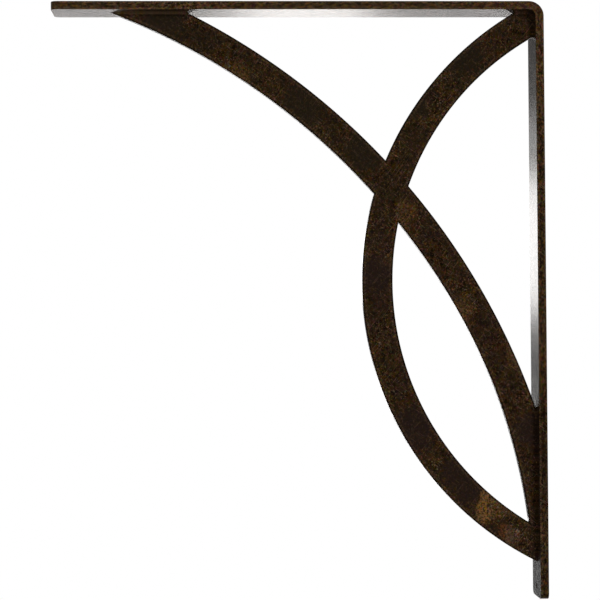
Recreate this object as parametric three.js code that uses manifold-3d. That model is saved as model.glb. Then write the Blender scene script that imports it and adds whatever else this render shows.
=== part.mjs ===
// A wall bracket for a shelf or a worktop, in dark rubbed-bronze steel.
//
// One flat bar is bent once, to a square corner: its upper leg carries the shelf and its back leg
// goes against the wall. One plate, cut to two crossing arcs, stands on edge along the middle of
// the bar's width and braces the corner. The plate is welded to the bar where its ends meet it.
//
// Millimetres, +Z up. X = 0 is the rear face of the back leg, which goes against the wall, and the
// upper leg reaches out towards -X. Y = 0 is the middle of the bar's width, and Z = 0 is half way
// up the back leg.

import * as THREE from 'three';
import { mergeVertices } from 'three/addons/utils/BufferGeometryUtils.js';
import Module from 'manifold-3d';

const wasm = await Module();
wasm.setup();

// Flat bar
const REACH = 376.3; // from the wall to the tip of the upper leg
const HEIGHT = 457.2; // from the shelf face down to the foot of the back leg
const BAR_WIDTH = 38.1;
const BAR_THICKNESS = 6.35;
const BEND_RADIUS = 11.5; // outside of the bend
const TIP_CORNER_RADIUS = 5; // the bar's two corners at the tip of the upper leg
const FOOT_CORNER_RADIUS = 5; // and at the foot of the back leg

// Screw hole near the foot, through the back leg
const SCREW_HOLE_DIAMETER = 4.8;
const SCREW_HOLE_ABOVE_FOOT = 7.9;

// Brace plate
const PLATE_THICKNESS = 6.35;
const WELD_GAP = 0.3; // between the plate and the bar, where the weld joins them

// Short arc of the plate: both ends of its centreline are on the back leg
const SHORT_ARC_WIDTH = 23.5;
const SHORT_ARC_BELOW_TOP = 11.8; // below the shelf face
const SHORT_ARC_ABOVE_FOOT = 40.4; // above the foot of the back leg
const SHORT_ARC_RISE = 121.7; // how far it bows out from the back leg

// Long arc of the plate: it comes down from the upper leg and closes the lens-shaped window
// between the arcs, whose sharp lower tip is a little in front of the back leg
const LONG_ARC_WIDTH = 23.9;
const LONG_ARC_FROM_TIP = 75.9; // start of its centreline, from the tip of the upper leg
const LENS_TIP_FROM_BAR = 6;
const LENS_TIP_TO_LONG_ARC = 16; // from there across to the end of the centreline
const LONG_ARC_RISE = 62.4; // how far the centreline bows up, from the chord between its ends
const FLARE_LENGTH = 160; // the hollow edge runs wide over this last stretch, to meet the tip

// How finely the curves are cut
const LONG_ARC_STEPS = 96;
const SHORT_ARC_STEPS = 96;
const BEND_STEPS = 24;
const CORNER_STEPS = 12;
const HOLE_STEPS = 40;

// How far a cutting solid runs past what it cuts, and how many of its own widths the long arc
// starts before its centreline meets the upper leg, which it does at a slant
const OVERRUN = 10;
const LONG_START_WIDTHS = 2.5;

// Places that follow from those sizes
const topZ = HEIGHT / 2;
const footZ = -HEIGHT / 2;
const underZ = topZ - BAR_THICKNESS; // underside of the upper leg
const innerX = -BAR_THICKNESS; // front of the back leg
const innerBendRadius = BEND_RADIUS - BAR_THICKNESS;

// A closed, merged geometry becomes a solid that can be joined and cut.
function solidFrom(geometry) {
  const plain = geometry.clone();
  plain.deleteAttribute('normal');
  plain.deleteAttribute('uv');
  const merged = mergeVertices(plain);
  return new wasm.Manifold(
    new wasm.Mesh({
      numProp: 3,
      vertProperties: new Float32Array(merged.attributes.position.array),
      triVerts: new Uint32Array(merged.index.array),
    }),
  );
}

// And back again, with flat shading on every facet.
function geometryFrom(solid) {
  const mesh = solid.getMesh();
  const indexed = new THREE.BufferGeometry();
  indexed.setAttribute('position', new THREE.BufferAttribute(mesh.vertProperties, 3));
  indexed.setIndex(new THREE.BufferAttribute(mesh.triVerts, 1));
  const faceted = indexed.toNonIndexed();
  faceted.computeVertexNormals();
  return faceted;
}

// A side outline in X and Z, made into a solid of that thickness across Y = 0.
function sideSolid(outline, thickness) {
  const geometry = new THREE.ExtrudeGeometry(outline, {
    depth: thickness,
    bevelEnabled: false,
    curveSegments: BEND_STEPS,
  });
  geometry.rotateX(Math.PI / 2);
  geometry.translate(0, thickness / 2, 0);
  return solidFrom(geometry);
}

// A strip as wide as the bar that runs from the origin along +Y of its own plane, with both
// corners rounded at its far end.
function roundedStrip(length, cornerRadius) {
  const half = BAR_WIDTH / 2;
  const radius = Math.min(cornerRadius, half);
  const outline = new THREE.Shape();
  outline.moveTo(-half, -OVERRUN);
  outline.lineTo(half, -OVERRUN);
  outline.lineTo(half, length - radius);
  outline.absarc(half - radius, length - radius, radius, 0, Math.PI / 2, false);
  outline.lineTo(-half + radius, length);
  outline.absarc(-half + radius, length - radius, radius, Math.PI / 2, Math.PI, false);
  outline.closePath();
  return outline;
}

// The bent bar: its side outline across the whole width, then each end rounded in the plane of
// its own leg, then the screw hole.
function bentBar() {
  const side = new THREE.Shape();
  side.moveTo(-REACH, topZ);
  side.lineTo(-REACH, underZ);
  side.lineTo(innerX - innerBendRadius, underZ);
  side.absarc(-BEND_RADIUS, topZ - BEND_RADIUS, innerBendRadius, Math.PI / 2, 0, true);
  side.lineTo(innerX, footZ);
  side.lineTo(0, footZ);
  side.lineTo(0, topZ - BEND_RADIUS);
  side.absarc(-BEND_RADIUS, topZ - BEND_RADIUS, BEND_RADIUS, 0, Math.PI / 2, false);
  side.closePath();

  // From above: the strip runs from the wall out to the tip.
  const tip = new THREE.ExtrudeGeometry(roundedStrip(REACH, TIP_CORNER_RADIUS), {
    depth: HEIGHT + 2 * OVERRUN,
    bevelEnabled: false,
    curveSegments: CORNER_STEPS,
  });
  tip.rotateZ(Math.PI / 2);
  tip.translate(0, 0, footZ - OVERRUN);

  // From the front: the strip runs from the shelf face down to the foot.
  const foot = new THREE.ExtrudeGeometry(roundedStrip(HEIGHT, FOOT_CORNER_RADIUS), {
    depth: REACH + 2 * OVERRUN,
    bevelEnabled: false,
    curveSegments: CORNER_STEPS,
  });
  foot.rotateX(-Math.PI / 2);
  foot.rotateZ(Math.PI / 2);
  foot.translate(OVERRUN, 0, topZ);

  const hole = new THREE.CylinderGeometry(
    SCREW_HOLE_DIAMETER / 2,
    SCREW_HOLE_DIAMETER / 2,
    BAR_THICKNESS + 2 * OVERRUN,
    HOLE_STEPS,
  );
  hole.rotateZ(Math.PI / 2);
  hole.translate(innerX / 2, 0, footZ + SCREW_HOLE_ABOVE_FOOT);

  return sideSolid(side, BAR_WIDTH)
    .intersect(solidFrom(tip))
    .intersect(solidFrom(foot))
    .subtract(solidFrom(hole));
}

// The circle through two points that bows out from their chord by that rise, on the left of the
// way from start to end.
function circleThrough(start, end, rise) {
  const chord = end.clone().sub(start);
  const span = chord.length();
  const radius = (span * span / 4 + rise * rise) / (2 * rise);
  const outwards = new THREE.Vector2(-chord.y, chord.x).divideScalar(span);
  const centre = start.clone().add(end).divideScalar(2);
  centre.addScaledVector(outwards, rise - radius);
  return { centre, radius };
}

// The lower of the two points where a circle crosses that X.
function lowerPoint({ centre, radius }, x) {
  return new THREE.Vector2(x, centre.y - Math.sqrt(radius * radius - (x - centre.x) ** 2));
}

function angleFrom(centre, point) {
  return Math.atan2(point.y - centre.y, point.x - centre.x);
}

// The outline of a curved band about a circle, from one angle to another. extraWidth gives what
// the band gains on its hollow side at each angle.
function bandOutline({ centre, radius }, width, fromAngle, toAngle, steps, extraWidth) {
  const edge = (angle, edgeRadius) =>
    new THREE.Vector2(Math.cos(angle), Math.sin(angle)).multiplyScalar(edgeRadius).add(centre);
  const angles = Array.from(
    { length: steps + 1 },
    (_, i) => fromAngle + ((toAngle - fromAngle) * i) / steps,
  );
  const outer = angles.map((angle) => edge(angle, radius + width / 2));
  const inner = angles.map((angle) => edge(angle, radius - width / 2 - extraWidth(angle)));
  return new THREE.Shape([...outer, ...inner.reverse()]);
}

// The space inside the corner of the bar, a weld's gap away from it. The plate is trimmed to it.
function insideCorner() {
  const radius = innerBendRadius - WELD_GAP;
  const bendCentre = new THREE.Vector2(-BEND_RADIUS, topZ - BEND_RADIUS);
  const outline = new THREE.Shape();
  outline.moveTo(-REACH, underZ - WELD_GAP);
  outline.lineTo(-REACH, footZ);
  outline.lineTo(innerX - WELD_GAP, footZ);
  outline.lineTo(innerX - WELD_GAP, bendCentre.y);
  outline.absarc(bendCentre.x, bendCentre.y, radius, 0, Math.PI / 2, false);
  outline.closePath();
  return sideSolid(outline, PLATE_THICKNESS + 2 * OVERRUN);
}

// The brace plate: both arcs run past the bar, are joined into one plate, and are trimmed to the
// inside of the corner.
function bracePlate() {
  const shortTop = new THREE.Vector2(innerX, topZ - SHORT_ARC_BELOW_TOP);
  const shortFoot = new THREE.Vector2(innerX, footZ + SHORT_ARC_ABOVE_FOOT);
  const shortCircle = circleThrough(shortFoot, shortTop, SHORT_ARC_RISE);

  // The short arc runs past the back leg at both ends.
  const overrunAngle = SHORT_ARC_WIDTH / shortCircle.radius;
  const shortStart = angleFrom(shortCircle.centre, shortTop) - overrunAngle;
  const shortEnd = angleFrom(shortCircle.centre, shortFoot) + 2 * Math.PI + overrunAngle;
  const shortArc = bandOutline(
    shortCircle, SHORT_ARC_WIDTH, shortStart, shortEnd, SHORT_ARC_STEPS, () => 0,
  );

  // The lens tip is on the hollow edge of the short arc, and the long arc is drawn to it.
  const shortHollow = { centre: shortCircle.centre, radius: shortCircle.radius - SHORT_ARC_WIDTH / 2 };
  const lensTip = lowerPoint(shortHollow, innerX - LENS_TIP_FROM_BAR);
  const longTop = new THREE.Vector2(-REACH + LONG_ARC_FROM_TIP, underZ);
  const longFoot = new THREE.Vector2(lensTip.x + LENS_TIP_TO_LONG_ARC, lensTip.y);
  const longCircle = circleThrough(longTop, longFoot, LONG_ARC_RISE);

  // Its hollow edge leaves the circle before the tip, so that it passes through the tip.
  const tipAngle = angleFrom(longCircle.centre, lensTip);
  const tipWidening =
    longCircle.radius - LONG_ARC_WIDTH / 2 - lensTip.distanceTo(longCircle.centre);
  const flareAngle = FLARE_LENGTH / longCircle.radius;
  const flare = (angle) => {
    const share = Math.max(0, tipAngle + flareAngle - angle) / flareAngle;
    return tipWidening * share * share;
  };

  // The long arc starts above the upper leg and stops in the foot of the short one.
  const longTopAngle = angleFrom(longCircle.centre, longTop);
  const longStart = longTopAngle + (LONG_START_WIDTHS * LONG_ARC_WIDTH) / longCircle.radius;
  const longEnd = angleFrom(longCircle.centre, shortFoot);
  const longArc = bandOutline(
    longCircle, LONG_ARC_WIDTH, longStart, longEnd, LONG_ARC_STEPS, flare,
  );

  return sideSolid(longArc, PLATE_THICKNESS)
    .add(sideSolid(shortArc, PLATE_THICKNESS))
    .intersect(insideCorner());
}

// Baked bronze finish: the bar's faces are a little browner than the plate's
const barFinish = new THREE.MeshStandardMaterial({
  color: 0x3a2c1e,
  roughness: 0.42,
  metalness: 0.6,
});
const plateFinish = new THREE.MeshStandardMaterial({
  color: 0x2b1f14,
  roughness: 0.48,
  metalness: 0.6,
});

const bar = new THREE.Mesh(geometryFrom(bentBar()), barFinish);
bar.name = 'bent_bar_frame';

const plate = new THREE.Mesh(geometryFrom(bracePlate()), plateFinish);
plate.name = 'crossed_arc_plate';

const bracket = new THREE.Group();
bracket.add(bar, plate);

export default bracket;
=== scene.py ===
# %% [markdown]
# # A wrought iron shelf bracket
# The real bracket is two pieces of mild steel. A flat bar is bent once to a square corner: its
# upper leg carries the shelf and its back leg goes against the wall. A plate cut to two crossing
# arcs stands on edge inside the corner and is welded to the bar. Both are finished in a dark
# bronze that is rubbed, scratched and mottled.
#
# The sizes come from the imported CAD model, which is loaded first and never moved. Everything made
# here is in metres and in that model's own place: X = 0 is the wall face, -X is out into the room,
# +Z is up, and Y runs across the bar's width.

# %% Load the frame
import math

import bmesh
import bpy
from mathutils import Matrix, Vector


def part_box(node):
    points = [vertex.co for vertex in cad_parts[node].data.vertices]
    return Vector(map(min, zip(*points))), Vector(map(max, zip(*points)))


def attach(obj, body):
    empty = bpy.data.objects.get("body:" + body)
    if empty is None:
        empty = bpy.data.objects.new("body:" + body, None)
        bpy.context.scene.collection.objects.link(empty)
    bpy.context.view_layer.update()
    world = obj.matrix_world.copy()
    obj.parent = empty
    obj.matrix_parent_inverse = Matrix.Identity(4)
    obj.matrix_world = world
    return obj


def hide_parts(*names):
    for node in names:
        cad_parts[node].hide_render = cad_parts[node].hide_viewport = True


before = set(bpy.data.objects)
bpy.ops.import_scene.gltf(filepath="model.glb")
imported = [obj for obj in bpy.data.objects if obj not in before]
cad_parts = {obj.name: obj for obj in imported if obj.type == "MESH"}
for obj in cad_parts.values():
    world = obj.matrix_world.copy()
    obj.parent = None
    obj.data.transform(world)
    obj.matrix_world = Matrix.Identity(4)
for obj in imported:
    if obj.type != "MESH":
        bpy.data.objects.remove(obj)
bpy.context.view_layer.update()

# %% [markdown]
# ## The camera
# The camera comes first, so that every later step can be judged from the same place. It is a long
# lens, about 1.5 m away, a little lower than the bracket's middle and left of the wall. So the
# underside of the upper leg shows as a thin strip, and the inner face of the back leg as another.
# Lens, place and turn were fitted to the straight edges of the bar, and the picture is square.

# %% Set up the camera
CAMERA_PLACE = (-0.2492, -1.5007, -0.0289)
CAMERA_TURN = (91.141, 0.396, -2.344)  # degrees about X, Y and Z
LENS_MM = 117.15
SENSOR_MM = 36.0

camera = bpy.data.objects.new("camera", bpy.data.cameras.new("camera"))
camera.location = CAMERA_PLACE
camera.rotation_euler = [math.radians(angle) for angle in CAMERA_TURN]
camera.data.lens = LENS_MM
camera.data.sensor_width = SENSOR_MM
bpy.context.scene.collection.objects.link(camera)
bpy.context.scene.camera = camera
print("camera", camera.location[:], "lens", camera.data.lens)

# %% [markdown]
# ## Sizes
# The bar's reach, height and width, and the plate's thickness, are read from the boxes of the two
# CAD nodes. The rest are the bracket's own driving sizes, the same as in the CAD model: a bend, the
# rounded corners at the bar's ends, a screw hole and two arcs.

# %% Read and name the sizes
MM = 0.001
CM3 = 1e-6
bar_low, bar_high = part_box("bent_bar_frame")
plate_low, plate_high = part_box("crossed_arc_plate")
reach = -bar_low.x
top_z, foot_z = bar_high.z, bar_low.z
bar_width = bar_high.y - bar_low.y
plate_thickness = plate_high.y - plate_low.y

BAR_THICKNESS = 6.35 * MM
BEND_RADIUS = 11.5 * MM  # outside of the bend
END_CORNER_RADIUS = 5 * MM
SCREW_HOLE_RADIUS = 2.4 * MM
SCREW_HOLE_ABOVE_FOOT = 7.9 * MM
WELD_DEPTH = 0.3 * MM  # how far the plate's ends are sunk in the bar, where the real one is welded

under_z = top_z - BAR_THICKNESS
inner_x = -BAR_THICKNESS
print("reach", round(reach, 4), "height", round(top_z - foot_z, 4), "width", round(bar_width, 4))

# %% [markdown]
# ## Helpers for modelling
# A bmesh is Blender's editable mesh. Each piece is worked on as a bmesh and then stored in an
# object. The object stays at the origin, because its place is in its mesh. Joining and cutting is
# left to Boolean modifiers, which are used up at once, so that the finished mesh is plain.

# %% Store, join and cut
def piece_from(name, bm):
    """Makes an object of a bmesh and frees the bmesh."""
    bmesh.ops.recalc_face_normals(bm, faces=bm.faces[:])
    mesh = bpy.data.meshes.new(name)
    bm.to_mesh(mesh)
    bm.free()
    piece = bpy.data.objects.new(name, mesh)
    bpy.context.scene.collection.objects.link(piece)
    return piece


def combine(piece, other, operation):
    """Joins the other object to the piece, or cuts it away, and removes the other object."""
    boolean = piece.modifiers.new("combine", "BOOLEAN")
    boolean.solver = "EXACT"
    boolean.operation = operation
    boolean.object = other
    shown = piece.evaluated_get(bpy.context.evaluated_depsgraph_get())
    piece.data = bpy.data.meshes.new_from_object(shown)
    piece.modifiers.clear()
    bpy.data.objects.remove(other)


# %% [markdown]
# No cut steel edge is perfectly sharp. A narrow rounding on every edge catches a line of light or
# shade, and that line is what makes the bar look solid. Only the edges where two faces meet at a
# clear angle are rounded. Curved stretches are shaded smooth. The large faces are flat, so their
# borders are marked sharp: a smooth border would tilt the shading of a whole leg by a degree or
# two, and a mirror doubles that.

# %% Round the edges
EDGE_ROUNDING = 0.35 * MM
ROUNDING_STEPS = 4
SHARP_ANGLE = math.radians(30)
FLAT_FACE_AREA = 100 * MM * MM  # flat faces are larger than this, facets of curves smaller


def round_edges(bm):
    """Rounds every sharp edge and sets smooth shading."""
    sharp = [edge for edge in bm.edges if edge.calc_face_angle(0) > SHARP_ANGLE]
    made = bmesh.ops.bevel(
        bm, geom=sharp, offset=EDGE_ROUNDING, offset_type="OFFSET", segments=ROUNDING_STEPS,
        profile=0.5, affect="EDGES", material=-1, miter_outer="ARC", clamp_overlap=False,
    )
    roundings = set(made["faces"])
    for face in bm.faces:
        face.smooth = face in roundings or face.calc_area() < FLAT_FACE_AREA
    for edge in bm.edges:
        kinds = {face in roundings for face in edge.link_faces}
        edge.smooth = len(kinds) == 1 and all(face.smooth for face in edge.link_faces)
    print("rounded", len(sharp), "edges")


# %% [markdown]
# ## The bent bar
# The smith starts with a straight flat bar and bends it once over a former. The model is made in
# the same order: four points give the bar's section at the tip of the upper leg, the section is
# extruded to the start of the bend, spun a quarter turn about the centre of the bend, and extruded
# again to the foot. A spin keeps the bar's thickness true all the way round.

# %% Sweep the bar's section
BEND_STEPS = 24


def extrude(bm, face, offset):
    """Extrudes one face along an offset and returns the face at the far end."""
    made = bmesh.ops.extrude_face_region(bm, geom=[face])["geom"]
    points = [item for item in made if isinstance(item, bmesh.types.BMVert)]
    bmesh.ops.translate(bm, verts=points, vec=offset)
    return next(item for item in made if isinstance(item, bmesh.types.BMFace))


def swept_bar():
    """The bar with square ends, as a bmesh."""
    bm = bmesh.new()
    half = bar_width / 2
    section = bm.faces.new(
        [bm.verts.new((-reach, y, z)) for y, z in
         ((-half, top_z), (half, top_z), (half, under_z), (-half, under_z))]
    )
    bend_centre = Vector((-BEND_RADIUS, 0, top_z - BEND_RADIUS))
    bend_start = extrude(bm, section, (reach - BEND_RADIUS, 0, 0))
    spun = bmesh.ops.spin(
        bm, geom=[bend_start], cent=bend_centre, axis=(0, 1, 0), angle=math.pi / 2,
        steps=BEND_STEPS, use_duplicate=False,
    )
    bend_end = next(item for item in spun["geom_last"] if isinstance(item, bmesh.types.BMFace))
    extrude(bm, bend_end, (0, 0, foot_z - bend_centre.z))
    # Spin and extrude keep the face that they start from. These two would stay inside the bar.
    bmesh.ops.delete(bm, geom=[bend_start, bend_end], context="FACES_ONLY")
    return bm


# %% [markdown]
# Both ends of the bar have their two corners rounded. Those corners are four short edges that
# run through the bar's thickness, and one bevel with many segments turns each into a quarter round.
# The screw hole near the foot is cut with a cylinder, and then all the edges are softened.

# %% Round the bar's ends, drill it and soften it
CORNER_STEPS = 12
HOLE_STEPS = 48


def is_end_corner(edge):
    """True for an edge through the bar's thickness at the tip or at the foot."""
    first, last = (vert.co for vert in edge.verts)
    at_tip = max(first.x, last.x) < -reach + BAR_THICKNESS / 2
    at_foot = max(first.z, last.z) < foot_z + BAR_THICKNESS / 2
    return (at_tip or at_foot) and abs(first.y - last.y) < BAR_THICKNESS / 2


def bent_bar():
    bm = swept_bar()
    bmesh.ops.bevel(
        bm, geom=[edge for edge in bm.edges if is_end_corner(edge)], offset=END_CORNER_RADIUS,
        offset_type="OFFSET", segments=CORNER_STEPS, profile=0.5, affect="EDGES", material=-1,
    )
    bar = piece_from("bent_flat_bar", bm)

    drill = bmesh.new()
    place = Matrix.Translation((inner_x / 2, 0, foot_z + SCREW_HOLE_ABOVE_FOOT))
    bmesh.ops.create_cone(
        drill, cap_ends=True, segments=HOLE_STEPS, radius1=SCREW_HOLE_RADIUS,
        radius2=SCREW_HOLE_RADIUS, depth=3 * BAR_THICKNESS,
        matrix=place @ Matrix.Rotation(math.pi / 2, 4, "Y"),
    )
    combine(bar, piece_from("drill", drill), "DIFFERENCE")

    bm = bmesh.new()
    bm.from_mesh(bar.data)
    round_edges(bm)
    bm.to_mesh(bar.data)
    print("bar", len(bm.faces), "faces, volume in cm3", round(bm.calc_volume() / CM3, 1))
    bm.free()
    return bar


bar = bent_bar()

# %% [markdown]
# ## The plate's two circles
# Each arc of the plate is a band of even width about a circle. The short arc starts and ends on the
# back leg. The long one comes down from the upper leg and closes the lens-shaped window between
# the arcs, so it is drawn to the sharp lower tip of that window. A circle is fixed by the two
# ends of an arc and by how far it bows out from the straight line between them.

# %% Find the circles
SHORT_ARC_WIDTH = 23.5 * MM
SHORT_ARC_BELOW_TOP = 11.8 * MM
SHORT_ARC_ABOVE_FOOT = 40.4 * MM
SHORT_ARC_RISE = 121.7 * MM

LONG_ARC_WIDTH = 23.9 * MM
LONG_ARC_FROM_TIP = 75.9 * MM
LENS_TIP_FROM_BAR = 6 * MM
LENS_TIP_TO_LONG_ARC = 16 * MM
LONG_ARC_RISE = 62.4 * MM
FLARE_LENGTH = 160 * MM  # the hollow edge runs wide over this last stretch, to meet the tip


def circle_through(start, end, rise):
    """Centre and radius of the circle through two points that bows out from their chord."""
    chord = end - start
    radius = (chord.length_squared / 4 + rise * rise) / (2 * rise)
    outwards = Vector((-chord.y, chord.x)).normalized()
    return (start + end) / 2 + outwards * (rise - radius), radius


def angle_of(centre, point):
    return math.atan2(point.y - centre.y, point.x - centre.x)


short_top = Vector((inner_x, top_z - SHORT_ARC_BELOW_TOP))
short_foot = Vector((inner_x, foot_z + SHORT_ARC_ABOVE_FOOT))
short_centre, short_radius = circle_through(short_foot, short_top, SHORT_ARC_RISE)

tip_x = inner_x - LENS_TIP_FROM_BAR
hollow_radius = short_radius - SHORT_ARC_WIDTH / 2
tip_drop = math.sqrt(hollow_radius**2 - (tip_x - short_centre.x) ** 2)
lens_tip = Vector((tip_x, short_centre.y - tip_drop))

long_top = Vector((-reach + LONG_ARC_FROM_TIP, under_z))
long_foot = lens_tip + Vector((LENS_TIP_TO_LONG_ARC, 0))
long_centre, long_radius = circle_through(long_top, long_foot, LONG_ARC_RISE)

tip_angle = angle_of(long_centre, lens_tip)
flare_angle = FLARE_LENGTH / long_radius
tip_widening = long_radius - LONG_ARC_WIDTH / 2 - (lens_tip - long_centre).length
print("radii in mm", round(long_radius / MM, 1), round(short_radius / MM, 1))

# %% [markdown]
# ## The brace plate
# One edge across the band is spun about the centre of its circle, which draws the band in one
# step. The long band's hollow edge is then moved inwards near the foot, where the real one runs
# wide. Each band is extruded to the plate's thickness and the two are joined. Where they cross,
# the real plate has no seam, so the faces that lie in one plane are merged again.

# %% Spin the bands and join them
ARC_STEPS = 128
OVERRUN = 25 * MM  # how far the bands run past the bar before they are trimmed


def band_slab(name, centre, radius, width, start, end, widening):
    """A curved band of the plate's thickness. widening gives what the hollow edge gains."""
    bm = bmesh.new()
    ray = Vector((math.cos(start), 0, math.sin(start)))
    middle = Vector((centre.x, -plate_thickness / 2, centre.y))
    ends = [bm.verts.new(middle + ray * (radius + side * width / 2)) for side in (-1, 1)]
    first = bm.edges.new(ends)
    bmesh.ops.spin(
        bm, geom=[*ends, first], cent=middle, axis=(0, -1, 0), angle=end - start,
        steps=ARC_STEPS, use_duplicate=False,
    )
    for vert in bm.verts:
        ray = vert.co - middle
        if ray.length < radius:
            gain = widening(math.atan2(ray.z, ray.x))
            vert.co = middle + ray.normalized() * (ray.length - gain)
    made = bmesh.ops.extrude_face_region(bm, geom=bm.faces[:])["geom"]
    points = [item for item in made if isinstance(item, bmesh.types.BMVert)]
    bmesh.ops.translate(bm, verts=points, vec=(0, plate_thickness, 0))
    return piece_from(name, bm)


def flare(angle):
    """What the hollow edge of the long arc gains at that angle about its centre."""
    share = max(0, tip_angle + flare_angle - angle) / flare_angle
    return tip_widening * share * share


def crossed_bands():
    """Both bands as one untrimmed plate."""
    long_start = angle_of(long_centre, long_top) + 2 * OVERRUN / long_radius
    long_end = angle_of(long_centre, short_foot)
    plate = band_slab(
        "crossed_arc_brace", long_centre, long_radius, LONG_ARC_WIDTH, long_start, long_end, flare
    )
    short_start = angle_of(short_centre, short_top) - OVERRUN / short_radius
    short_end = angle_of(short_centre, short_foot) + math.tau + OVERRUN / short_radius
    short_band = band_slab(
        "short_band", short_centre, short_radius, SHORT_ARC_WIDTH, short_start, short_end,
        lambda angle: 0,
    )
    combine(plate, short_band, "UNION")
    return plate


# %% [markdown]
# The plate is trimmed last, with two cutting planes just inside the bar's surfaces, and the open
# ends are filled. The real plate is welded there, so it is sunk into the bar by a hair.

# %% Trim the plate to the corner of the bar
COPLANAR_ANGLE = math.radians(0.1)
WELD_TOLERANCE = 0.001 * MM


def trim(bm, point, normal):
    """Cuts away what lies beyond a plane and closes the ends."""
    bmesh.ops.bisect_plane(
        bm, geom=bm.verts[:] + bm.edges[:] + bm.faces[:], plane_co=point, plane_no=normal,
        clear_outer=True,
    )
    rim = [edge for edge in bm.edges if edge.is_boundary]
    bmesh.ops.holes_fill(bm, edges=rim, sides=0)
    for edge in rim:
        edge.smooth = False


def brace_plate():
    plate = crossed_bands()
    bm = bmesh.new()
    bm.from_mesh(plate.data)
    bmesh.ops.remove_doubles(bm, verts=bm.verts[:], dist=WELD_TOLERANCE)
    bmesh.ops.dissolve_limit(
        bm, angle_limit=COPLANAR_ANGLE, verts=bm.verts[:], edges=bm.edges[:],
        use_dissolve_boundaries=False,
    )
    round_edges(bm)
    trim(bm, (0, 0, under_z + WELD_DEPTH), (0, 0, 1))
    trim(bm, (inner_x + WELD_DEPTH, 0, 0), (1, 0, 0))
    bm.to_mesh(plate.data)
    print("plate", len(bm.faces), "faces, volume in cm3", round(bm.calc_volume() / CM3, 1))
    bm.free()
    return plate


plate = brace_plate()

# %% [markdown]
# ## Helpers for materials
# A material is a net of nodes. Written out link by link it is hard to read, so one small class
# wraps a node's output and lets Python's own operators add the Math nodes: 1 - mask or
# depth * 2 then work as they look. Every other node comes from one method that takes the
# node's type, its settings and the values or links of its inputs.

# %% Wrap a node's output
class Net:
    """The nodes of one material or world."""

    def __init__(self, tree):
        self.tree = tree
        self.tree.nodes.clear()

    def node(self, kind, settings=None, inputs=None, output=0):
        """Adds a node. Settings come first, because they can change the inputs."""
        made = self.tree.nodes.new("ShaderNode" + kind)
        for name, value in (settings or {}).items():
            setattr(made, name, value)
        for name, value in (inputs or {}).items():
            if isinstance(value, Output):
                self.tree.links.new(value.socket, made.inputs[name])
            else:
                made.inputs[name].default_value = value
        return Output(self, made.outputs[output]) if made.outputs else made


class Output:
    """An output of a node. Sums with it add Math nodes."""

    def __init__(self, net, socket):
        self.net = net
        self.socket = socket

    def maths(self, operation, first, second=0.0):
        return self.net.node("Math", {"operation": operation}, {0: first, 1: second})

    def __add__(self, other):
        return self.maths("ADD", self, other)

    def __sub__(self, other):
        return self.maths("SUBTRACT", self, other)

    def __mul__(self, other):
        return self.maths("MULTIPLY", self, other)

    def __truediv__(self, other):
        return self.maths("DIVIDE", self, other)

    def __rsub__(self, other):
        return self.maths("SUBTRACT", other, self)

    __radd__ = __add__
    __rmul__ = __mul__

    def least(self, other):
        return self.maths("MINIMUM", self, other)

    def most(self, other):
        return self.maths("MAXIMUM", self, other)

    def magnitude(self):
        return self.maths("ABSOLUTE", self)

    def ramp(self, low, high):
        """0 at low and below, 1 at high and above, smooth between."""
        return self.net.node(
            "MapRange", {"interpolation_type": "SMOOTHSTEP"},
            {"Value": self, "From Min": low, "From Max": high},
        )


def hypotenuse(one, other):
    squares = one * one + other * other
    return squares.maths("SQRT", squares)


def strongest(masks):
    """The strongest of several masks at each point."""
    total, *others = masks
    for mask in others:
        total = total.most(mask)
    return total


def mix(net, factor, low, high):
    """A colour that goes from low to high with the factor."""
    return net.node("Mix", {"data_type": "RGBA"}, {0: factor, 6: low, 7: high}, output=2)


def multiplied(net, colour, by, amount=1.0):
    """A colour times another one. amount fades the change in."""
    return net.node(
        "Mix", {"data_type": "RGBA", "blend_type": "MULTIPLY", "clamp_result": False},
        {0: amount, 6: colour, 7: by}, output=2,
    )


# %% [markdown]
# Colours are picked from a screen, where they are stored with a curve that suits the eye. A shader
# wants the true amount of light, so each value is converted.

# %% Convert screen colours
def screen_colour(red, green, blue):
    """A shader colour from screen values between 0 and 255."""
    def linear(value):
        share = value / 255
        return share / 12.92 if share <= 0.04045 else ((share + 0.055) / 1.055) ** 2.4
    return (linear(red), linear(green), linear(blue), 1.0)


# %% [markdown]
# ## How far is the nearest edge?
# The finish changes at the edges: the plate's are dark right at the rim and a little rubbed beside
# it, and the bar's are rubbed bright. So the material has to know how far each point is from an
# edge, and the pieces are simple enough to work that out from their own sizes. One distance is
# to a side face, along Y. The other is to the bar's broad faces, round the bend too, or to the rim
# of whichever of the plate's bands the point lies deeper in. The two together give the distance to
# the line of the edge.

# %% Distance to the edge on the bar and on the plate
def coordinates(net):
    """X, Y and Z in millimetres on the piece itself."""
    place = net.node("TexCoord", output="Object")
    millimetres = net.node(
        "VectorMath", {"operation": "SCALE"}, {0: place, "Scale": 1 / MM}
    )
    axes = [net.node("SeparateXYZ", inputs={0: millimetres}, output=axis) for axis in "XYZ"]
    return millimetres, axes


def depth_in_bar(x, z):
    """Depth below the bar's outer surface, in millimetres."""
    from_bend_x = (x + BEND_RADIUS / MM).most(0.0)
    from_bend_z = (z - (top_z - BEND_RADIUS) / MM).most(0.0)
    return BEND_RADIUS / MM - hypotenuse(from_bend_x, from_bend_z)


def edge_distance_on_bar(x, y, z):
    depth = depth_in_bar(x, z)
    to_broad_face = depth.least(BAR_THICKNESS / MM - depth).most(0.0)
    to_side = (bar_width / 2 / MM - y.magnitude()).most(0.0)
    to_end = (x + reach / MM).least(z - foot_z / MM).most(0.0)
    return hypotenuse(to_broad_face, to_side.least(to_end))


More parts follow.
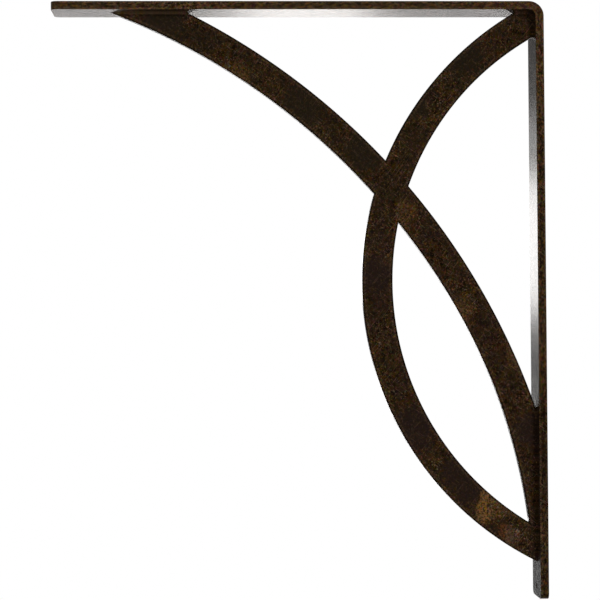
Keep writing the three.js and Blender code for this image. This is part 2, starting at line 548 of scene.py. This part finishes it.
def depth_in_band(x, z, centre, radius, width, widening=None):
    """Depth inside the rim of a band, in millimetres."""
    across = x - centre.x / MM
    up = z - centre.y / MM
    from_middle = hypotenuse(across, up)
    outer = (radius + width / 2) / MM - from_middle
    inner = from_middle - (radius - width / 2) / MM
    if widening:
        angle = up.maths("ARCTAN2", up, across)
        share = ((tip_angle + flare_angle - angle) / flare_angle).most(0.0)
        inner = inner + share * share * (widening / MM)
    return outer.least(inner)


def edge_distance_on_plate(x, y, z):
    long_depth = depth_in_band(x, z, long_centre, long_radius, LONG_ARC_WIDTH, tip_widening)
    short_depth = depth_in_band(x, z, short_centre, short_radius, SHORT_ARC_WIDTH)
    to_rim = long_depth.most(short_depth).most(0.0)
    to_side = (plate_thickness / 2 / MM - y.magnitude()).most(0.0)
    return hypotenuse(to_rim, to_side)


# %% [markdown]
# ## The rubbed bronze finish
# The steel is blackened, brushed over with bronze and rubbed back by hand, then lacquered. Seen
# close it is never one colour: calm zones of dark violet brown lie between zones that are mottled
# with ochre and olive, with fine pale flecks and hair scratches on top. Each of these is a noise
# pattern of its own size, and a slow one decides where the lively ones may show.
#
# It is a metal finish, so the shader is fully metallic: face on it shows its own colour, and at
# a glancing angle it turns into a pale mirror, as the inner faces of the bar do here.

# %% Noise of a given size
def noise(net, vector, size, detail=2.0, roughness=0.5, distortion=0.0, output="Fac"):
    """Cloudy noise whose blobs are about that many units of the vector across."""
    return net.node(
        "TexNoise", {"noise_dimensions": "3D"},
        {"Vector": vector, "Scale": 1 / size, "Detail": detail, "Roughness": roughness,
         "Distortion": distortion}, output,
    )


SCRATCHES = (  # degrees about the Y axis, length and width in millimetres, noise level
    (35.0, 9.0, 0.55, 0.66),
    (-52.0, 12.0, 0.50, 0.67),
    (80.0, 7.0, 0.60, 0.68),
)
SCRATCH_BORDER = 0.06  # how far above that level a scratch is at its full strength


def strokes_one_way(net, millimetres, turn, length, width, level):
    """Thin straight scratches that run one way: a noise that is stretched and turned."""
    turned = net.node(
        "Mapping", {"vector_type": "TEXTURE"}, {
            "Vector": millimetres,
            "Rotation": (0.0, math.radians(turn), 0.0),
            "Scale": (length, width, width),
        },
    )
    return noise(net, turned, 1.0, detail=1.0).ramp(level, level + SCRATCH_BORDER)


# %% [markdown]
# The strongest places are listed one by one, because a noise would not put them where they are
# on this bracket: a gold patch with one sharp border low on the short arc, rust and a pale fleck
# below it, and a few duller ones further up. They are on the near side alone, and the far side is
# plainer. The calm dark zones between them are set in the same way.

# %% Name the rubbed places and the calm ones
GOLD = screen_colour(122, 90, 52)
RUST = screen_colour(104, 62, 32)
PALE = screen_colour(128, 100, 78)
RUBBED_PLACES = (  # X and Z in millimetres, radius, strength, colour
    (-46.5, -152.5, 6.0, 0.75, GOLD),
    (-48.5, -163.0, 7.5, 0.95, GOLD),
    (-35.0, -158.0, 9.0, 0.30, GOLD),
    (-33.0, -177.0, 5.0, 0.70, RUST),
    (-27.0, -181.0, 7.0, 0.35, PALE),
    (-21.5, -178.5, 1.8, 0.80, PALE),
    (-108.0, 68.0, 9.0, 0.30, GOLD),
    (-64.0, -7.0, 9.0, 0.35, GOLD),
    (-23.5, -44.0, 9.0, 0.30, GOLD),
    (-234.0, 174.0, 9.0, 0.35, GOLD),
)

CALM_PLACES = (  # X and Z in millimetres, radius
    (-292.0, 214.0, 18.0),
    (-183.0, 152.0, 19.0),
    (-137.0, 115.0, 17.0),
    (-97.0, 150.0, 12.0),
    (-60.0, 188.0, 16.0),
    (-128.0, 20.0, 16.0),
    (-101.0, -98.0, 20.0),
    (-68.0, -133.0, 14.0),
    (-59.0, -146.0, 13.0),
    (-10.0, -100.0, 14.0),
)
print(len(RUBBED_PLACES), "rubbed places and", len(CALM_PLACES), "calm ones")

# %% Rub the bright places in and keep the calm ones
PLACE_FADE = (1.35, 0.70)  # shares of its radius where a rubbed place begins and where it is full
CALM_FADE = (1.25, 0.60)
CALM_RAGGED = 0.6  # how ragged the calm places are beside the rubbed ones
BORDER_SHARE = 0.6  # each rubbed place starts sharply at this share of its radius, on the tip's side
BORDER_RAGGED = 2.0
BORDER_WIDTH = 0.8  # half of it, in millimetres
NEAR_SIDE = (1.5, -1.5)  # Y where the near side begins and where it is full, in millimetres
RUBBED_GRAIN = (0.38, 0.58)  # noise levels of the grain that breaks the places up


def inside_place(x, z, place_x, place_z, radius, ragged, fade):
    """1 in the middle of a round place and 0 outside it, with a ragged border."""
    away = hypotenuse(x - place_x, z - place_z) + ragged * radius
    outer, inner = fade
    return away.ramp(radius * outer, radius * inner)


def rub(net, colour, x, y, z, ragged, grain):
    """Rubs the bright places into the near side of the plate."""
    near_side = y.ramp(*NEAR_SIDE)
    broken_up = grain.ramp(*RUBBED_GRAIN)
    for place_x, place_z, radius, strength, shine in RUBBED_PLACES:
        inside = inside_place(x, z, place_x, place_z, radius, ragged, PLACE_FADE)
        from_border = x - (place_x - radius * BORDER_SHARE) + ragged * BORDER_RAGGED
        border = from_border.ramp(-BORDER_WIDTH, BORDER_WIDTH)
        mask = inside * border * near_side * broken_up * strength
        colour = mix(net, mask, colour, shine)
    return colour


def calm_places(x, z, ragged):
    """1 in the middle of the calm places and 0 outside them."""
    return strongest(
        inside_place(x, z, place_x, place_z, radius, ragged * CALM_RAGGED, CALM_FADE)
        for place_x, place_z, radius in CALM_PLACES
    )


# %% Name the colours of the finish
BLACKENED = screen_colour(22, 14, 8)
RED_BROWN = screen_colour(54, 33, 20)
GOLD_BROWN = screen_colour(50, 37, 18)
VIOLET_BROWN = screen_colour(39, 28, 24)
OLIVE_BROWN = screen_colour(37, 30, 21)
STREAK_DARK = screen_colour(24, 14, 6)
STREAK_PALE = screen_colour(96, 72, 42)
OCHRE = screen_colour(84, 60, 30)
FLECK = screen_colour(136, 108, 80)
BEND_RED = screen_colour(74, 42, 34)
EDGE_BLACK = screen_colour(10, 7, 5)

# %% [markdown]
# The ground is a dark mottle with clouds of ochre and pale flecks in it. The three channels of one
# slow noise say where it is lively, where it leans to green and where it is calm. In a calm zone
# the mottle gives way to one even colour: violet brown low on the bracket, olive brown further up.

# %% Lay the ground
ZONE_SIZE = 24.0  # sizes of patterns are in millimetres
MOTTLE_SIZE = 3.8
CLOUD_SIZE = 7.0
HUE_SIZE = 8.0
GRAIN_SIZE = 1.5
ZONE_LEVELS = (0.42, 0.58)  # noise levels where a pattern begins and where it is full
MOTTLE_LEVELS = (0.40, 0.57)
CLOUD_LEVELS = (0.50, 0.70)
FLECK_LEVELS = (0.54, 0.68)
OCHRE_EVERYWHERE = 0.14
OCHRE_IF_LIVELY = 0.28
FLECKS_EVERYWHERE = 0.26
FLECKS_IF_LIVELY = 0.42
CALM_HIDES = 0.6  # how much of the ochre and the flecks a calm zone hides
OLIVE_HEIGHTS = (50.0, 90.0)  # Z where the calm zones turn from violet to olive, in millimetres


def zones(net, millimetres):
    """Masks for where the finish is lively, where it leans to green and where it is calm."""
    slow = noise(net, millimetres, ZONE_SIZE, detail=2.0, distortion=0.6, output="Color")
    channels = [net.node("SeparateXYZ", inputs={0: slow}, output=axis) for axis in "XYZ"]
    return [channel.ramp(*ZONE_LEVELS) for channel in channels]


def ground(net, millimetres, z, mottle, grain, lively, green, calm):
    """The mottled colour under everything else."""
    hue = noise(net, millimetres, HUE_SIZE, detail=3.0, roughness=0.6, distortion=0.5)
    brown = mix(net, hue.ramp(*ZONE_LEVELS), RED_BROWN, GOLD_BROWN)
    colour = mix(net, mottle.ramp(*MOTTLE_LEVELS), BLACKENED, brown)
    olive = (green * (1 - calm)).most(z.ramp(*OLIVE_HEIGHTS))
    colour = mix(net, calm, colour, mix(net, olive, VIOLET_BROWN, OLIVE_BROWN))

    cloud = noise(net, millimetres, CLOUD_SIZE, detail=4.0, roughness=0.7, distortion=0.8)
    shown = 1 - calm * CALM_HIDES
    ochre = cloud.ramp(*CLOUD_LEVELS) * (lively * OCHRE_IF_LIVELY + OCHRE_EVERYWHERE) * shown
    flecks = grain.ramp(*FLECK_LEVELS) * (lively * FLECKS_IF_LIVELY + FLECKS_EVERYWHERE) * shown
    return mix(net, flecks, mix(net, ochre, colour, OCHRE), FLECK)


# %% [markdown]
# The bar has a pattern of its own. Rolling and brushing left streaks along it, which follow it round
# the bend. The bend itself is redder, where the steel was heated. Shade is painted into the bar's
# colour by height: lighter near the top and darker low on the back leg, as the light falls off. A
# stretch a hand's width above the foot is darker still and less streaked.

# %% Streak the bar
STREAK_LENGTH = 5.0  # lengths here are in millimetres
STREAK_DEPTH = 1.7
PALE_LEVELS = (0.50, 0.60)
DARK_LEVELS = (0.48, 0.40)
STREAK_STRENGTH = 0.9
STREAK_LOSS_IF_DULL = 0.5
HEATED_X = -25.0  # the middle of the red bend
HEATED_Z = 225.0
HEATED_FADE = (34.0, 12.0)  # distances from there where the red begins and where it is full
HEATED_AMOUNT = 0.35
UPPER_HEIGHTS = (130.0, 165.0)  # Z where the painted light near the top begins and where it is full
LOWER_HEIGHTS = (-65.0, -85.0)  # Z where the painted shade low on the back leg begins and where it is full
DULL_END = (-165.0, -145.0)  # Z where the dull stretch has ended and where it is still full
BACK_LEG_SHADE = 0.65
UPPER_PAINTED_LIGHT = 0.30
LOWER_PAINTED_SHADE = 0.12
DULL_LOSS = 0.12


def streaked(net, colour, x, y, z):
    """Adds the bar's streaks, its red bend and its painted shade by height to the colour."""
    along = net.node(
        "CombineXYZ",
        inputs={"X": (x - z) / STREAK_LENGTH, "Y": y, "Z": depth_in_bar(x, z) / STREAK_DEPTH},
    )
    streak = noise(net, along, 1.0, detail=5.0, roughness=0.75)
    lower = z.ramp(*LOWER_HEIGHTS)
    dull = lower * z.ramp(*DULL_END)
    strength = STREAK_STRENGTH - dull * STREAK_LOSS_IF_DULL
    colour = mix(net, streak.ramp(*PALE_LEVELS) * strength, colour, STREAK_PALE)
    colour = mix(net, streak.ramp(*DARK_LEVELS) * strength, colour, STREAK_DARK)
    at_bend = hypotenuse(x - HEATED_X, z - HEATED_Z).ramp(*HEATED_FADE)
    colour = mix(net, at_bend * HEATED_AMOUNT, colour, BEND_RED)
    # Painted shade: the colour is made lighter near the top and darker low on the back leg.
    shade = z.ramp(*UPPER_HEIGHTS) * UPPER_PAINTED_LIGHT + BACK_LEG_SHADE - lower * LOWER_PAINTED_SHADE
    shade = shade - dull * DULL_LOSS
    return multiplied(net, colour, net.node("CombineXYZ", inputs={0: shade, 1: shade, 2: shade}))


# %% [markdown]
# Where the plate meets the upper leg, a highlight is painted along the joint: a thin pale line that
# stands in for the light the joint catches. It is brightest at the end of the long arc. Handling
# wears the edges too. The plate's rim stayed black, and the rubbed line lies just inside it, but the
# bar is rubbed right up to its edges. Last comes a fine shift of hue, which keeps neighbouring
# specks from having just the same brown.

# %% Paint the highlight along the joint
JOINT_HIGHLIGHT_BAND = (1.8, 0.6)  # millimetres below the bar where the painted highlight begins and where it is full
JOINT_HIGHLIGHT_PEAK = (-190.0, -210.0)  # X where it gets brighter and where it is brightest
JOINT_HIGHLIGHT_EVERYWHERE = 0.4
JOINT_HIGHLIGHT_IF_BRIGHT = 0.6
JOINT_HIGHLIGHT_AMOUNT = 0.35


def painted_joint_highlight(net, colour, x, z):
    """Adds the painted highlight, a pale line along the joint, to the plate's colour."""
    # Painted highlight: a pale line in the colour stands in for the light the joint catches.
    line = (under_z / MM - z).ramp(*JOINT_HIGHLIGHT_BAND)
    strength = x.ramp(*JOINT_HIGHLIGHT_PEAK) * JOINT_HIGHLIGHT_IF_BRIGHT + JOINT_HIGHLIGHT_EVERYWHERE
    return mix(net, line * strength * JOINT_HIGHLIGHT_AMOUNT, colour, FLECK)


# %% Wear the edges and tint the colour
RIM_BLACK = (1.5, 0.5)  # millimetres from the edge where the black begins and where it is full
RIM_AMOUNT = 0.5
RUBBED_LINE = (1.0, 1.8)  # where the rubbed line beside it begins and where it is full
RUBBED_LINE_END = (3.4, 2.2)  # where it has ended and where it is still full
BAR_WEAR = (2.0, 0.8)
WEAR_GRAIN = (0.40, 0.60)  # noise levels of the grain that breaks the wear up
WEAR_AMOUNT = 0.18
TINT_SIZE = 1.8
TINT_GAIN = (2.6, 2.4, 5.0)  # for red, green and blue


def worn(net, colour, edge, grain, dark_edges):
    """Adds the wear along the edges. edge is the distance to the nearest one."""
    if dark_edges:
        wear = edge.ramp(*RUBBED_LINE) * edge.ramp(*RUBBED_LINE_END)
        colour = mix(net, edge.ramp(*RIM_BLACK) * RIM_AMOUNT, colour, EDGE_BLACK)
    else:
        wear = edge.ramp(*BAR_WEAR)
    return mix(net, wear * grain.ramp(*WEAR_GRAIN) * WEAR_AMOUNT, colour, FLECK)


def tinted(net, millimetres, colour, amount):
    """Shifts red, green and blue a little, each by a fine noise of its own."""
    fine = noise(net, millimetres, TINT_SIZE, detail=3.0, roughness=0.7, output="Color")
    shift = net.node(
        "VectorMath", {"operation": "MULTIPLY_ADD"},
        {0: fine, 1: TINT_GAIN, 2: [1 - gain / 2 for gain in TINT_GAIN]},
    )
    return multiplied(net, colour, shift, amount)


# %% [markdown]
# Now the patterns are laid over each other, in the order in which such a finish is worked: the
# ground, then the streaks or the rubbed places, the scratches and the worn edges. The mottle, the
# grain and the scratches also change the roughness and give a very low relief. Both pieces share
# this recipe. The bar is brighter and has the streaks and its painted shade, and the plate has the
# rubbed places, the painted highlight along the joint and the dark rim.

# %% Build the finish
CALM_ZONES = 0.45  # how calm the zones of the slow noise are
CALM_BY_HAND = 0.9  # how calm the listed places are
RAGGED = 3.0  # how far the mottle frays the borders of places
SCRATCH_AMOUNT = 0.35
CALM_SOFTENS = 0.7  # how much of the scratches and the tint a calm zone hides
ROUGHNESS = 0.28
MOTTLE_ROUGHNESS = 0.10
SCRATCH_GLOSS = 0.05
RELIEF = 0.06 * MM
MOTTLE_RELIEF = 0.55  # shares of the whole relief
GRAIN_RELIEF = 0.30
SCRATCH_RELIEF = 0.20


def bronze(name, edge_distance, brightness, gloss, streaks, rubbed, dark_edges):
    """A rubbed bronze material.

    brightness multiplies all its colours, and gloss lowers its roughness. streaks, rubbed and
    dark_edges say which of the patterns the piece has.
    """
    material = bpy.data.materials.new(name)
    material.use_nodes = True
    net = Net(material.node_tree)
    millimetres, (x, y, z) = coordinates(net)

    mottle = noise(net, millimetres, MOTTLE_SIZE, detail=5.0, roughness=0.70)
    grain = noise(net, millimetres, GRAIN_SIZE, detail=3.0, roughness=0.75)
    strokes = strongest(strokes_one_way(net, millimetres, *scratch) for scratch in SCRATCHES)
    ragged = (mottle - 0.5) * RAGGED

    lively, green, calm = zones(net, millimetres)
    calm = calm * CALM_ZONES
    if rubbed:
        calm = calm.most(calm_places(x, z, ragged) * CALM_BY_HAND)
        lively = lively * (1 - calm)
    colour = ground(net, millimetres, z, mottle, grain, lively, green, calm)

    if streaks:
        colour = streaked(net, colour, x, y, z)
    if rubbed:
        colour = rub(net, colour, x, y, z, ragged, grain)
        colour = painted_joint_highlight(net, colour, x, z)

    softened = 1 - calm * CALM_SOFTENS
    colour = mix(net, strokes * softened * SCRATCH_AMOUNT, colour, FLECK)
    colour = worn(net, colour, edge_distance(x, y, z), grain, dark_edges)
    colour = tinted(net, millimetres, colour, softened)
    colour = multiplied(net, colour, (brightness, brightness, brightness, 1.0))

    roughness = ROUGHNESS - gloss + mottle * MOTTLE_ROUGHNESS - strokes * SCRATCH_GLOSS
    relief = mottle * MOTTLE_RELIEF + grain * GRAIN_RELIEF - strokes * SCRATCH_RELIEF
    bump = net.node("Bump", inputs={"Height": relief, "Distance": RELIEF, "Strength": 1.0})
    shader = net.node(
        "BsdfPrincipled",
        inputs={"Base Color": colour, "Roughness": roughness, "Metallic": 1.0, "Normal": bump},
    )
    net.node("OutputMaterial", inputs={"Surface": shader})
    return material


bar.data.materials.append(
    bronze("rubbed_bronze_on_bar", edge_distance_on_bar, brightness=1.05, gloss=0.09,
           streaks=True, rubbed=False, dark_edges=False)
)
plate.data.materials.append(
    bronze("rubbed_bronze_on_plate", edge_distance_on_plate, brightness=0.82, gloss=0.14,
           streaks=False, rubbed=True, dark_edges=True)
)
print("materials", [material.name for material in bpy.data.materials])

# %% [markdown]
# ## The studio
# The bracket hangs at the height of a shelf, well above a plain pale floor, in front of plain
# white. A dark metal shows little but what it reflects, so the surroundings matter as much as the
# lamps. World and floor are pale where the camera looks straight at them and dim in every
# reflection: that keeps the edges of the bracket dark against the white.

# %% Lay the floor and set the surroundings
FLOOR_Z = -1.45
FLOOR_RADIUS = 8.0
FLOOR_STEPS = 96
FLOOR_PAINT = (0.8, 0.8, 0.8, 1.0)
FLOOR_ROUGHNESS = 0.7
FLOOR_GLOW = 0.24
FLOOR_SEEN = 0.96  # how bright the camera sees it
SURROUNDINGS = 0.12  # how bright the world is in a reflection
WHITE = (1.0, 1.0, 1.0, 1.0)


def pale_to_camera(net, output, shader, shader_to_camera):
    """Shows the camera one shader and all other rays another."""
    seen = net.node("LightPath", output="Is Camera Ray")
    shown = net.node("MixShader", inputs={0: seen, 1: shader, 2: shader_to_camera})
    net.node(output, inputs={"Surface": shown})


floor_mesh = bmesh.new()
bmesh.ops.create_circle(
    floor_mesh, cap_ends=True, segments=FLOOR_STEPS, radius=FLOOR_RADIUS,
    matrix=Matrix.Translation((0, 0, FLOOR_Z)),
)
floor = piece_from("pale_floor", floor_mesh)
floor_paint = bpy.data.materials.new("pale_floor")
floor_paint.use_nodes = True
floor.data.materials.append(floor_paint)
net = Net(floor_paint.node_tree)
paint = net.node(
    "BsdfPrincipled",
    inputs={"Base Color": FLOOR_PAINT, "Roughness": FLOOR_ROUGHNESS,
            "Emission Color": WHITE, "Emission Strength": FLOOR_GLOW},
)
pale = net.node("Emission", inputs={"Color": WHITE, "Strength": FLOOR_SEEN})
pale_to_camera(net, "OutputMaterial", paint, pale)

world = bpy.data.worlds.new("studio")
world.use_nodes = True
bpy.context.scene.world = world
net = Net(world.node_tree)
dim = net.node("Background", inputs={"Color": WHITE, "Strength": SURROUNDINGS})
white = net.node("Background", inputs={"Color": WHITE, "Strength": 1.0})
pale_to_camera(net, "OutputWorld", dim, white)
bpy.context.scene.view_settings.view_transform = "Standard"
print("floor at Z", FLOOR_Z, "radius", FLOOR_RADIUS)

# %% [markdown]
# ## The lights
# Soft panels do nearly all the lighting, and the camera sees none of them. A large one behind the
# camera is what the flat faces reflect, so it sets how bright the finish looks. Four narrow ones
# stand far behind the bracket. At a glancing angle the two inner faces of the bar mirror them, so
# the edges of those panels are where each face's bright stretch begins and ends.

# %% Hang the soft panels
def soft_panel(name, centre, target, width, height, brightness):
    """An even rectangle of light that faces the target. The camera doesn't see it."""
    light = bpy.data.lights.new(name, "AREA")
    light.shape = "RECTANGLE"
    light.size = width
    light.size_y = height
    light.energy = brightness * math.pi * width * height
    panel = bpy.data.objects.new(name, light)
    panel.location = centre
    panel.rotation_euler = (Vector(target) - Vector(centre)).to_track_quat("-Z", "Y").to_euler()
    panel.visible_camera = False
    bpy.context.scene.collection.objects.link(panel)


FRONT_PLACE = (-0.2, -2.8, 0.1)
FRONT_TARGET = (-0.2, 0.0, 0.0)
FRONT_WIDTH = 3.2
FRONT_HEIGHT = 2.8
FRONT_BRIGHTNESS = 0.7
BACK_PANELS = (  # name, X, Y and Z of its centre, width, height, brightness
    ("wide_low_panel", 0.0, 4.2, -0.41, 2.0, 0.22, 2.75),
    ("low_back_panel", -0.006, 4.0, -0.55, 0.372, 0.9, 2.35),
    ("side_back_panel", -1.0, 4.0, 0.234, 1.7, 0.388, 3.0),
    ("upper_side_panel", -1.0, 4.0, 0.55, 1.7, 0.08, 0.85),
)

soft_panel(
    "front_panel", FRONT_PLACE, FRONT_TARGET, FRONT_WIDTH, FRONT_HEIGHT, FRONT_BRIGHTNESS
)
for name, x, y, z, width, height, brightness in BACK_PANELS:
    soft_panel(name, (x, y, z), (x, 0.0, z), width, height, brightness)
print("panels", [light.name for light in bpy.data.lights])

# %% [markdown]
# Six more panels stand in a ring and one hangs overhead, so that the bracket is lit as well from
# its sides, from behind and from above. The ring is open in front, where the large panel hangs,
# and at the back, where a panel would fill the dark ends of the inner faces.

# %% Stand the ring and hang the ceiling panel
RING_ANGLES = (45, 90, 135, 225, 270, 315)  # degrees round from the camera's side
RING_RADIUS = 4.0
RING_PANEL_WIDTH = 2.4
RING_PANEL_HEIGHT = 3.0
RING_BRIGHTNESS = 0.6
CEILING_Z = 2.6
CEILING_SIZE = 4.5
CEILING_BRIGHTNESS = 0.6

for angle in RING_ANGLES:
    turn = math.radians(angle)
    place = (RING_RADIUS * math.sin(turn), -RING_RADIUS * math.cos(turn), 0.0)
    soft_panel(
        f"ring_panel_{angle}", place, (0.0, 0.0, 0.0), RING_PANEL_WIDTH, RING_PANEL_HEIGHT,
        RING_BRIGHTNESS,
    )
soft_panel(
    "ceiling_panel", (0.0, 0.0, CEILING_Z), (0.0, 0.0, 0.0), CEILING_SIZE, CEILING_SIZE,
    CEILING_BRIGHTNESS,
)
print("panels in all", len(bpy.data.lights))

# %% [markdown]
# ## The pieces in place of the CAD nodes
# Each new piece takes the place of its CAD node and rides on the one body.

# %% Tie the pieces to the frame
for piece, node, slot in (
    (bar, "bent_bar_frame", "bar_bronze"),
    (plate, "crossed_arc_plate", "plate_bronze"),
):
    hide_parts(node)
    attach(piece, "root")
